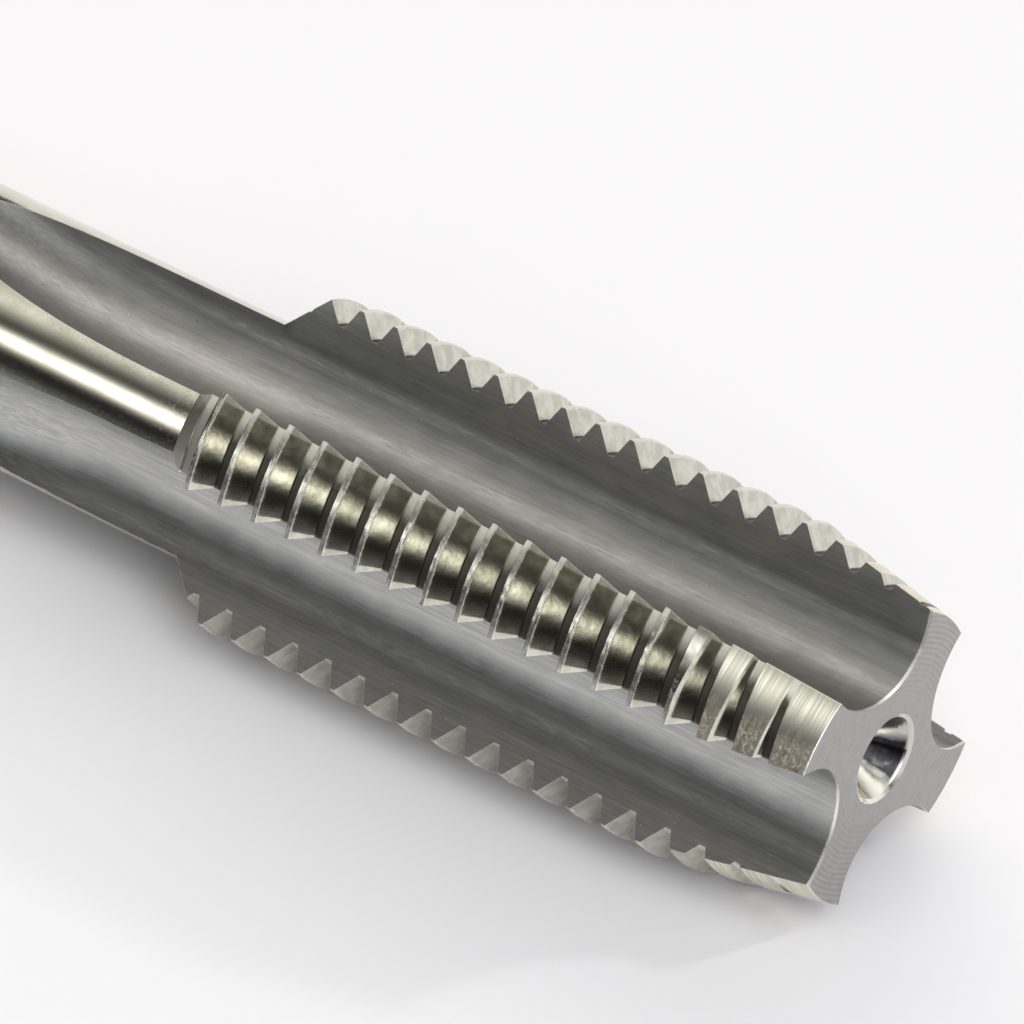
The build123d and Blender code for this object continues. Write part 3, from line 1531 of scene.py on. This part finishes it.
@dataclass(frozen=True)
class SteelFinish(ABC):
    """Bare tool steel as it was ground or turned.

    The colour runs from colour to second with the look's tone, then to the stain colour and to the
    worn colour. Besides real stains and wear, these two also carry painted shade and painted light
    where a finish puts them.
    """

    name: str
    colour: Colour
    second: Colour
    roughness: float
    bump: float
    stain_and_shade: Colour = (0.20, 0.17, 0.13)
    worn_and_lit: Colour = (0.80, 0.80, 0.79)
    rough_change: float = 0.1
    worn_roughness: float = 0.4
    depth: float = 0.006
    sizes: TapSizes = TapSizes()

    @abstractmethod
    def pattern(self, net: SurfaceNet, place: Term) -> Look:
        """Values that change over the surface.

        Args:
            net: the material's tree.
            place: object coordinates in millimetres from the tap's axis.

        Returns:
            The look.
        """

    def behind(self, net: SurfaceNet, angle: Term) -> Term:
        """Degrees behind the nearest cutting edge ahead."""
        step = 360 / self.sizes.flute_count
        return net.math("FRACT", (self.sizes.first_cut + 360 - angle) / step) * step

    def material(self) -> bpy.types.Material:
        """Make the material.

        Returns:
            The material.
        """
        made = bpy.data.materials.new(self.name)
        made.use_nodes = True
        net = SurfaceNet(made.node_tree)
        place = net.term("ShaderNodeTexCoord", output="Object")
        from_axis = (0.0, 0.0, -self.sizes.axis_height)
        place = net.vector_math("MULTIPLY_ADD", place, (1 / MM,) * 3, from_axis)
        look = self.pattern(net, place)
        colour = net.mixed(look.tone, self.colour, self.second)
        colour = net.mixed(look.stain_and_shade, colour, self.stain_and_shade)
        colour = net.mixed(look.wear_and_light, colour, self.worn_and_lit)
        rough = self.roughness + (look.rough - 0.5) * (2 * self.rough_change)
        rough = rough + look.wear_and_light * (self.worn_roughness - self.roughness)
        bump = net.term(
            "ShaderNodeBump",
            values={"Strength": self.bump, "Distance": self.depth * MM, "Height": look.height},
        )
        shader = net.term(
            "ShaderNodeBsdfPrincipled",
            values={
                "Base Color": colour,
                "Metallic": 1.0,
                "Roughness": net.clamp(rough, LEAST_ROUGHNESS, 1.0),
                "Normal": bump,
            },
        )
        net.node("ShaderNodeOutputMaterial", values={"Surface": shader})
        return made


@dataclass(frozen=True)
class TeethFinish(SteelFinish):
    """Ground screw thread: polished flanks with an olive tint, and ragged light crests.

    The flanks of one land are painted lighter than the others: a painted reflection.
    """

    name: str = "ground_teeth"
    colour: Colour = (0.68, 0.665, 0.58)
    second: Colour = (0.52, 0.505, 0.43)
    # The stain colour here serves real specks, the painted shade between the teeth and the darker
    # heel ends of the flanks.
    stain_and_shade: Colour = (0.10, 0.092, 0.075)
    # The worn colour here serves the worn crests and edges, and the painted highlight between the
    # teeth.
    worn_and_lit: Colour = (0.85, 0.83, 0.74)
    roughness: float = 0.11
    rough_change: float = 0.04
    worn_roughness: float = 0.34
    bump: float = 0.3
    depth: float = 0.010
    crest_from_radius: Band = (-0.01, 0.03)
    ground_from_root: Band = (0.06, 0.02)
    rear_from_foot: Band = (1.35, 1.15)
    edge_line: Band = (0.17, 0.09)
    # Painted highlight: a light bar on the ground between the teeth, towards the heel.
    root_highlight_behind: Band = (25.0, 31.0)
    # Where the flanks turn darker towards the heel.
    heel_darkening_behind: Band = (27.0, 33.0)
    # Painted shade on the ground between the teeth, towards the cutting edge, where it is also
    # rougher.
    shaded_root_behind: Band = (33.0, 23.0)
    # Painted light: the land whose flanks get less of the heel darkening.
    lit_land: Window = (198.0, 204.0, 244.0, 250.0)
    # Worn edges, painted light also as their edge highlight.
    edge_wear_and_highlight: float = 0.3
    rear_wear: float = 0.5
    heel_darkening: float = 0.55
    lit_land_lift: float = 0.5
    shaded_root_rough: float = 3.0

    def pattern(self, net: SurfaceNet, place: Term) -> Look:
        """Soft mottling on the flanks, painted shade and a painted highlight on the rougher ground
        between the teeth, and ragged crests.

        Args:
            net: the material's tree.
            place: object coordinates in millimetres from the tap's axis.

        Returns:
            The look.
        """
        sizes = self.sizes
        x, radius, angle = net.round_place(place)
        mottle = net.noise(place, 2.2, detail=3.0, seed=2.0)
        fine = net.noise(place, 8.0, seed=3.0)
        behind = self.behind(net, angle) + mottle * 6.0
        top = net.contrast(radius + fine * 0.10, self.crest_from_radius, sizes.crest)
        # Edges painted light: wear, and a painted edge highlight.
        side = net.contrast(net.edge() + fine * 0.2, self.edge_line) * self.edge_wear_and_highlight
        ground = net.contrast(radius, self.ground_from_root, sizes.root)
        rear = net.contrast(x, self.rear_from_foot, sizes.step_foot) * self.rear_wear
        # Painted highlight on the ground between the teeth, towards the heel, mixed in as the worn
        # colour.
        root_highlight = ground * net.contrast(behind, self.root_highlight_behind)
        worn_top = top * (0.2 + fine * 0.8)
        # Painted light: the flanks of the lower land get less of the heel darkening.
        lit_land_mask = net.within(net.full_turn(angle), self.lit_land) * self.lit_land_lift
        # The flanks are darker towards the heel.
        flank_heel_darkening = net.contrast(behind, self.heel_darkening_behind) * (1.0 - ground)
        heel = flank_heel_darkening * (self.heel_darkening - lit_land_mask)
        # Painted shade: the ground between the teeth darker towards the cutting edge.
        shaded_root = ground * net.contrast(behind, self.shaded_root_behind)
        specks = net.specks(place, 2.2, 0.06) * 0.6
        return Look(
            tone=net.contrast(mottle, MOTTLED),
            rough=mottle + shaded_root * self.shaded_root_rough,
            height=mottle * 1.2 + fine * top * 0.25,
            stain_and_shade=net.most(specks, net.most(shaded_root, heel) * (1.0 - top)),
            wear_and_light=net.most(net.most(worn_top, side), net.most(root_highlight, rear)),
        )


@dataclass(frozen=True)
class ChamferFinish(SteelFinish):
    """Chamfer ground across the lands, with brown specks and painted glints by the cutting edge."""

    name: str = "ground_chamfer"
    colour: Colour = (0.88, 0.85, 0.72)
    second: Colour = (0.66, 0.64, 0.53)
    stain_and_shade: Colour = (0.62, 0.49, 0.33)
    # The worn colour here serves the worn edges and the painted glints by the cutting edge.
    worn_and_lit: Colour = (1.0, 0.89, 0.70)
    roughness: float = 0.25
    worn_roughness: float = 0.42
    bump: float = 0.6
    specks_behind: Window = (4.0, 7.0, 13.0, 19.0)
    brown: Band = (0.42, 0.60)
    bright: Band = (0.50, 0.36)
    lined: Band = (0.38, 0.62)
    edge_line: Band = (0.1, 0.06)
    brown_stain: float = 0.4
    # Worn edges, painted light also as their edge highlight.
    edge_wear_and_highlight: float = 0.6

    def pattern(self, net: SurfaceNet, place: Term) -> Look:
        """Coarse lines round the axis, and brown specks and painted glints where the edge cut.

        Args:
            net: the material's tree.
            place: object coordinates in millimetres from the tap's axis.

        Returns:
            The look.
        """
        x, radius, angle = net.round_place(place)
        around = net.unrolled(x, radius, angle)
        lines = net.noise(around, (13.0, 2.0, 0.9), detail=3.0)
        fine = net.noise(place, 12.0, seed=3.0)
        broad = net.noise(place, 2.2, seed=4.0)
        behind = self.behind(net, angle) + broad * 8.0
        band = net.within(behind, self.specks_behind)
        # Painted glints: a lighter band by the cutting edge with brighter specks, mixed in as the
        # worn colour.
        sparkle = (0.4 + net.contrast(fine, self.bright) * 0.5) * band
        # Edges painted light: wear, and a painted edge highlight.
        side = net.contrast(net.edge() + fine * 0.1, self.edge_line) * self.edge_wear_and_highlight
        return Look(
            tone=net.contrast(lines, self.lined),
            rough=lines,
            height=lines + fine * band,
            stain_and_shade=net.contrast(fine, self.brown) * band * self.brown_stain,
            wear_and_light=net.most(sparkle, side),
        )


@dataclass(frozen=True)
class FluteFinish(SteelFinish):
    """Flutes ground along the tap: matte and dark, streaked along X.

    One flute has a strip painted light, and the wall below it is darker towards its outer part.
    """

    name: str = "ground_flutes"
    colour: Colour = (0.34, 0.336, 0.316)
    second: Colour = (0.25, 0.257, 0.242)
    stain_and_shade: Colour = (0.10, 0.095, 0.08)
    # The worn colour here serves the worn edges and dents, the painted edge highlight and the
    # painted light strip.
    worn_and_lit: Colour = (0.95, 0.95, 0.92)
    roughness: float = 0.39
    rough_change: float = 0.16
    bump: float = 0.35
    # The front edge, worn and painted light also as its edge highlight.
    front_from_tip: Band = (-0.09, -0.05)
    edge_line: Band = (0.07, 0.04)
    # Painted light: a lighter strip along one flute.
    lit_strip: Window = (149.0, 159.0, 202.0, 213.0)
    # The wall below the strip is darker towards its outer part.
    darker_wall: Window = (195.0, 205.0, 229.0, 235.0)
    darkened_radius: Band = (3.0, 4.0)
    # Worn edges, painted light also as their edge highlight.
    edge_wear_and_highlight: float = 0.35
    dent_wear: float = 0.3
    pit_stain: float = 0.8

    def pattern(self, net: SurfaceNet, place: Term) -> Look:
        """Streaks, pits, a front edge that is worn and a painted highlight, one strip painted
        light, and a darker wall below it.

        Args:
            net: the material's tree.
            place: object coordinates in millimetres from the tap's axis.

        Returns:
            The look.
        """
        x, radius, angle = net.round_place(place)
        streaks = net.noise(place, (0.5, 14.0, 14.0), detail=3.0)
        fine = net.noise(place, (2.6, 26.0, 26.0), detail=1.0, seed=3.0)
        broad = net.noise(place, (0.8, 1.3, 1.3), detail=4.0, seed=5.0)
        # Front edge painted light: wear, and a painted edge highlight.
        front = net.contrast(x + fine * 0.08, self.front_from_tip, self.sizes.tip)
        # Edges painted light: wear, and a painted edge highlight.
        side = net.contrast(net.edge() + fine * 0.08, self.edge_line) * self.edge_wear_and_highlight
        dents = net.specks(place, 2.6, 0.06, 1.0) * self.dent_wear
        pits = net.specks(place, 1.7, 0.045, 2.0) * self.pit_stain
        turn = net.full_turn(angle) + broad * 8.0 + streaks * 10.0
        # Painted light along a strip of one flute, mixed in as the worn colour.
        strip = net.within(turn, self.lit_strip)
        strip_light = strip * (0.18 + net.contrast(streaks, MOTTLED) * 0.26)
        # The wall below the strip, darker towards its outer part.
        wall = net.within(turn, self.darker_wall)
        darkened = wall * net.contrast(radius, self.darkened_radius) * (0.3 + streaks * 0.3)
        return Look(
            tone=net.contrast(streaks * 0.6 + broad * 0.4, MOTTLED),
            rough=fine,
            height=streaks * 0.4 + fine * 0.6,
            stain_and_shade=net.most(pits, darkened),
            wear_and_light=net.most(net.most(front, strip_light), net.most(dents, side)),
        )


@dataclass(frozen=True)
class FaceFinish(SteelFinish):
    """Front face turned flat: fine rings about the axis."""

    name: str = "turned_face"
    colour: Colour = (0.45, 0.443, 0.43)
    second: Colour = (0.33, 0.325, 0.313)
    roughness: float = 0.42
    bump: float = 0.8
    ring: float = 0.17
    strong_rings: Band = (2.4, 4.2)
    dent_wear: float = 0.6

    def pattern(self, net: SurfaceNet, place: Term) -> Look:
        """Rings about the axis, a little uneven and stronger outwards, and small dents.

        Args:
            net: the material's tree.
            place: object coordinates in millimetres from the tap's axis.

        Returns:
            The look.
        """
        _, radius, _ = net.round_place(place)
        drift = net.noise(place, 0.6, detail=1.0)
        wave = net.math("SINE", (radius + drift * 0.14) * (2 * math.pi / self.ring))
        mottle = net.noise(place, 3.0, detail=3.0, seed=1.0)
        strong = net.contrast(radius + mottle, self.strong_rings)
        rings = 0.5 + wave * (0.12 + strong * 0.5)
        dents = net.specks(place, 3.5, 0.06, 4.0)
        return Look(
            tone=rings * 0.5 + mottle * 0.5,
            rough=mottle,
            height=rings,
            wear_and_light=dents * self.dent_wear,
        )


@dataclass(frozen=True)
class CentreFinish(SteelFinish):
    """Centre holes cut by a centre drill: bright, with faint rings.

    The front one has near-black painted shade on one side of its bore, and a painted light patch at
    the bottom with a brown stain in it.
    """

    name: str = "drilled_centre"
    colour: Colour = (0.62, 0.61, 0.56)
    # The near-black second colour is the painted shade inside the front bore.
    second: Colour = (0.022, 0.022, 0.024)
    stain_and_shade: Colour = (0.50, 0.33, 0.16)
    # The worn colour here is only the painted light patch.
    worn_and_lit: Colour = (1.0, 0.97, 0.86)
    roughness: float = 0.16
    worn_roughness: float = 0.5
    bump: float = 0.25
    front_half: Band = (0.0, 1.0)
    # Painted shade: where the front bore is painted near black.
    shade_angle: float = -42.0
    shade_aside: Band = (52.0, 36.0)
    darkened_radius: Band = (1.32, 1.27)
    # Painted light: where the front bore is painted light.
    painted_light_angle: float = -122.0
    painted_light_aside: Band = (56.0, 40.0)
    brown_angle: float = -142.0
    brown_aside: Band = (28.0, 8.0)
    brown_radius: Band = (0.85, 1.0)
    brown_spots: Band = (0.40, 0.52)
    brown_stain: float = 0.8

    def pattern(self, net: SurfaceNet, place: Term) -> Look:
        """Painted shade on one side of the bore, faint rings, a painted light patch and a warm
        stain in its bottom.

        Args:
            net: the material's tree.
            place: object coordinates in millimetres from the tap's axis.

        Returns:
            The look.
        """
        x, radius, angle = net.round_place(place)
        rings = net.noise(net.unrolled(x, radius, angle), (12.0, 12.0, 0.8))
        mottle = net.noise(place, 2.5, seed=1.0)
        fine = net.noise(place, 6.0, seed=2.0)

        def beside(middle: float) -> Term:
            """Degrees to either side of an angle."""
            return net.math("ABSOLUTE", angle - middle)

        front = net.contrast(x, self.front_half)
        # Painted shade: one side of the front bore painted near black.
        darkened = net.contrast(beside(self.shade_angle) + mottle * 20.0, self.shade_aside)
        darkened = darkened * net.contrast(radius, self.darkened_radius) * front
        # Painted light low in the front bore, mixed in as the worn colour.
        light = net.contrast(beside(self.painted_light_angle) + mottle * 24.0, self.painted_light_aside)
        patch = net.contrast(beside(self.brown_angle), self.brown_aside)
        patch = patch * net.contrast(radius, self.brown_radius) * front
        stain_and_shade = net.contrast(fine, self.brown_spots) * patch * self.brown_stain
        return Look(
            tone=darkened * (0.8 + mottle * 0.4),
            rough=mottle,
            height=rings + mottle,
            stain_and_shade=stain_and_shade,
            wear_and_light=light * front * (1.0 - stain_and_shade),
        )


@dataclass(frozen=True)
class ShankFinish(SteelFinish):
    """Shank ground round: polished, scuffed near the flutes."""

    name: str = "ground_shank"
    colour: Colour = (0.70, 0.675, 0.55)
    second: Colour = (0.60, 0.58, 0.46)
    stain_and_shade: Colour = (0.28, 0.26, 0.19)
    worn_and_lit: Colour = (0.72, 0.71, 0.64)
    roughness: float = 0.12
    rough_change: float = 0.05
    bump: float = 0.15
    thread_from_foot: Band = (-1.1, 0.3)
    by_flutes: Band = (0.7, 0.0)
    least_scuffed: float = 0.1
    dark_scuffs: Band = (0.55, 0.64)
    light_scuffs: Band = (0.42, 0.34)
    scuff_stain: float = 0.3
    scuff_wear: float = 0.4

    def pattern(self, net: SurfaceNet, place: Term) -> Look:
        """Faint lines round the axis, and scuffs by the flutes and by the thread.

        Args:
            net: the material's tree.
            place: object coordinates in millimetres from the tap's axis.

        Returns:
            The look.
        """
        x, radius, angle = net.round_place(place)
        lines = net.noise(net.unrolled(x, radius, angle), (15.0, 3.0, 1.2))
        mottle = net.noise(place, (0.9, 1.6, 1.6), detail=3.0, seed=2.0)
        fine = net.noise(place, 11.0, seed=6.0)
        thread = net.contrast(x + mottle, self.thread_from_foot, self.sizes.step_foot)
        flutes = net.contrast(net.edge(), self.by_flutes)
        near = net.most(thread, flutes) * (1 - self.least_scuffed) + self.least_scuffed
        return Look(
            tone=net.contrast(mottle, MOTTLED),
            rough=mottle,
            height=lines * 0.5 + fine * near * 0.4,
            stain_and_shade=net.contrast(fine, self.dark_scuffs) * near * self.scuff_stain,
            wear_and_light=net.contrast(fine, self.light_scuffs) * near * self.scuff_wear,
        )


@dataclass(frozen=True)
class Glow:
    """One soft bright area of the room around the table."""

    azimuth: float
    elevation: float
    strength: float
    sharpness: float
    colour: Colour = (1.0, 1.0, 1.0)

    def direction(self) -> Place:
        """Unit vector towards it."""
        flat = cosd(self.elevation)
        return flat * cosd(self.azimuth), flat * sind(self.azimuth), sind(self.elevation)


@dataclass(frozen=True)
class KeyLamp:
    """The one small lamp, a square that shines on the tip.

    Its radiance is how bright its face is, with a white floor in full light as 1.
    """

    toward: Place = (1.2, 1.2, 1.0)
    side: float = 0.04
    radiance: float = 105.0
    distance: float = 0.6
    target: Place = (0.028, 0.0, 0.005)

    def build(self) -> None:
        """Place the lamp."""
        data = bpy.data.lights.new("key", "AREA")
        data.shape, data.size, data.size_y = "RECTANGLE", self.side, self.side
        data.energy = self.radiance * math.pi * self.side * self.side
        way = Vector(self.toward).normalized()
        turn = way.to_track_quat("Z", "Y").to_matrix().to_4x4()
        spot = Matrix.Translation(Vector(self.target) + way * self.distance)
        placed("key", data).matrix_world = spot @ turn


@dataclass(frozen=True)
class Studio:
    """Pale floor, soft light and the camera.

    The camera's place, in millimetres, and its axes are where the photograph was taken from.
    """

    floor_colour: Colour = (0.905, 0.905, 0.915)
    floor_roughness: float = 0.9
    floor_size: float = 3.0
    gloom: Colour = (0.01, 0.01, 0.01)
    glows: tuple[Glow, ...] = (
        Glow(0.0, 1.0, 1.1, 18.0, (1.02, 1.03, 0.95)),
        Glow(-45.0, 28.0, 0.6, 18.0, (0.94, 0.93, 1.13)),
        Glow(145.0, 34.0, 1.7, 18.0, (1.07, 1.0, 0.93)),
        Glow(-25.0, 41.0, 4.8, 18.0, (1.0, 0.98, 1.02)),
        Glow(113.0, 43.0, 1.75, 18.0, (1.04, 0.98, 0.98)),
        Glow(165.0, 50.0, 0.85, 18.0, (1.02, 1.0, 0.98)),
        Glow(-5.0, 60.0, 2.0, 18.0, (0.99, 1.03, 0.98)),
        Glow(76.0, 33.0, 0.8, 30.0),
        Glow(-151.0, 58.0, 1.0, 75.0),
        Glow(-118.0, 3.0, 0.6, 75.0, (0.93, 0.99, 1.08)),
        Glow(-108.0, 71.0, 1.7, 75.0),
        Glow(-97.0, 6.0, 2.2, 75.0, (0.96, 0.99, 1.05)),
        Glow(-126.0, 36.0, 4.2, 300.0),
    )
    key: KeyLamp = KeyLamp()
    focal_pixels: float = 10764.34
    image_pixels: int = 1024
    sensor_width: float = 36
    clip_start: float = 0.01
    clip_end: float = 20
    camera_place: Place = (178.40982192, -187.58982378, 220.89793946)
    right: Place = (0.79624804, 0.60436875, -0.02697173)
    down: Place = (0.38586341, -0.54169713, -0.7467755)
    ahead: Place = (-0.46593828, 0.58421113, -0.66452906)

    def floor(self) -> None:
        """Make the floor."""
        half = self.floor_size / 2
        made = bpy.data.meshes.new("floor")
        corners = [(-half, -half, 0), (half, -half, 0), (half, half, 0), (-half, half, 0)]
        made.from_pydata(corners, [], [(0, 1, 2, 3)])
        material = bpy.data.materials.new("floor")
        material.use_nodes = True
        net = Net(material.node_tree)
        shader = net.term(
            "ShaderNodeBsdfPrincipled",
            values={"Base Color": (*self.floor_colour, 1), "Roughness": self.floor_roughness},
        )
        net.node("ShaderNodeOutputMaterial", values={"Surface": shader})
        made.materials.append(material)
        floor = placed("floor", made)

    def world(self) -> None:
        """Light the room with its soft bright areas."""
        world = bpy.data.worlds.new("room")
        world.use_nodes = True
        net = Net(world.node_tree)
        way = net.term("ShaderNodeTexCoord", output="Generated")
        light: Any = self.gloom
        for glow in self.glows:
            along = tuple(glow.sharpness * part for part in glow.direction())
            level = net.vector_math("DOT_PRODUCT", way, along, output="Value")
            lobe = net.math("EXPONENT", level - glow.sharpness)
            shine = tuple(glow.strength * part for part in glow.colour)
            light = net.vector_math("MULTIPLY_ADD", lobe, shine, light)
        shade = net.term("ShaderNodeBackground", values={"Color": light, "Strength": 1.0})
        net.node("ShaderNodeOutputWorld", values={"Surface": shade})
        bpy.context.scene.world = world

    def camera(self) -> None:
        """Place the camera of the photograph."""
        data = bpy.data.cameras.new("camera")
        data.sensor_width = self.sensor_width
        data.lens = self.focal_pixels / self.image_pixels * self.sensor_width
        data.clip_start, data.clip_end = self.clip_start, self.clip_end
        rows = (Vector(self.right), -Vector(self.down), -Vector(self.ahead))
        turn = Matrix(rows).transposed().to_4x4()
        camera = placed("camera", data)
        camera.matrix_world = Matrix.Translation(Vector(self.camera_place) * MM) @ turn
        bpy.context.scene.camera = camera

    def build(self) -> None:
        """Make the floor, the light and the camera."""
        self.floor()
        self.world()
        self.key.build()
        self.camera()
        bpy.context.scene.view_settings.view_transform = "Standard"
        LOG.info("studio: %d glows and the key lamp", len(self.glows))


def main() -> None:
    """Build the tap and its studio, and report the pieces."""
    logging.basicConfig(level=logging.INFO, format="%(name)s: %(message)s")
    sizes = TapSizes()
    kinds = {
        Part.TEETH: TeethFinish,
        Part.CHAMFER: ChamferFinish,
        Part.FLUTE: FluteFinish,
        Part.FACE: FaceFinish,
        Part.CENTRE: CentreFinish,
        Part.SHANK: ShankFinish,
    }
    finishes = {part: finish(sizes=sizes).material() for part, finish in kinds.items()}
    mesh = TapBody(sizes).build(finishes[Part.TEETH])
    for part in Part:
        mesh.materials.append(finishes[part])
    tap = placed("tap_body", mesh)
    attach(tap, "root")
    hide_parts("tap")
    LOG.info("tap_body: %d points, %d faces", len(mesh.vertices), len(mesh.polygons))
    Studio().build()


if __name__ == "__main__":
    main()
